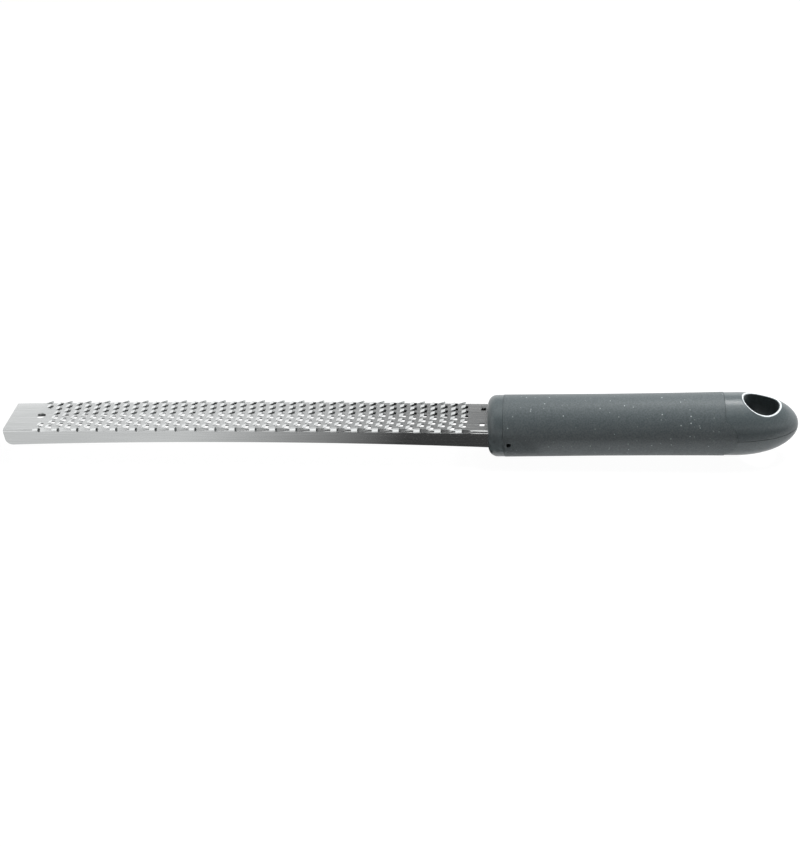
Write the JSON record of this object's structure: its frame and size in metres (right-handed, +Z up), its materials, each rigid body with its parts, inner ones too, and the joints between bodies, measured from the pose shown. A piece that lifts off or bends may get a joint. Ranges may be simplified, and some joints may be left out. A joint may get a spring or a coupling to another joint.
{
  "type": "rasp zester",
  "caption": "Hand rasp zester: a folded stainless channel blade with staggered etched teeth, set in a round soft-grip handle with a hanging hole.",
  "frame": {"origin": "centre of the hanging hole, on the handle's axis", "axes": "+X along the zester from the blade's tip to the handle's tail, +Y across it, +Z up along the hanging hole, on the side of the teeth"},
  "size_m": [0.3235, 0.0252, 0.0265],
  "materials": {
    "etched_stainless": "fine lengthwise brushing, etched edges",
    "hard_polypropylene": "smooth satin",
    "speckled_soft_grip": "matte, fine light specks"
  },
  "bodies": {
    "root": {"rasp_blade": "etched_stainless", "core_upper": "hard_polypropylene", "core_lower": "hard_polypropylene", "grip_sleeve": "speckled_soft_grip"}
  },
  "joints": []
}
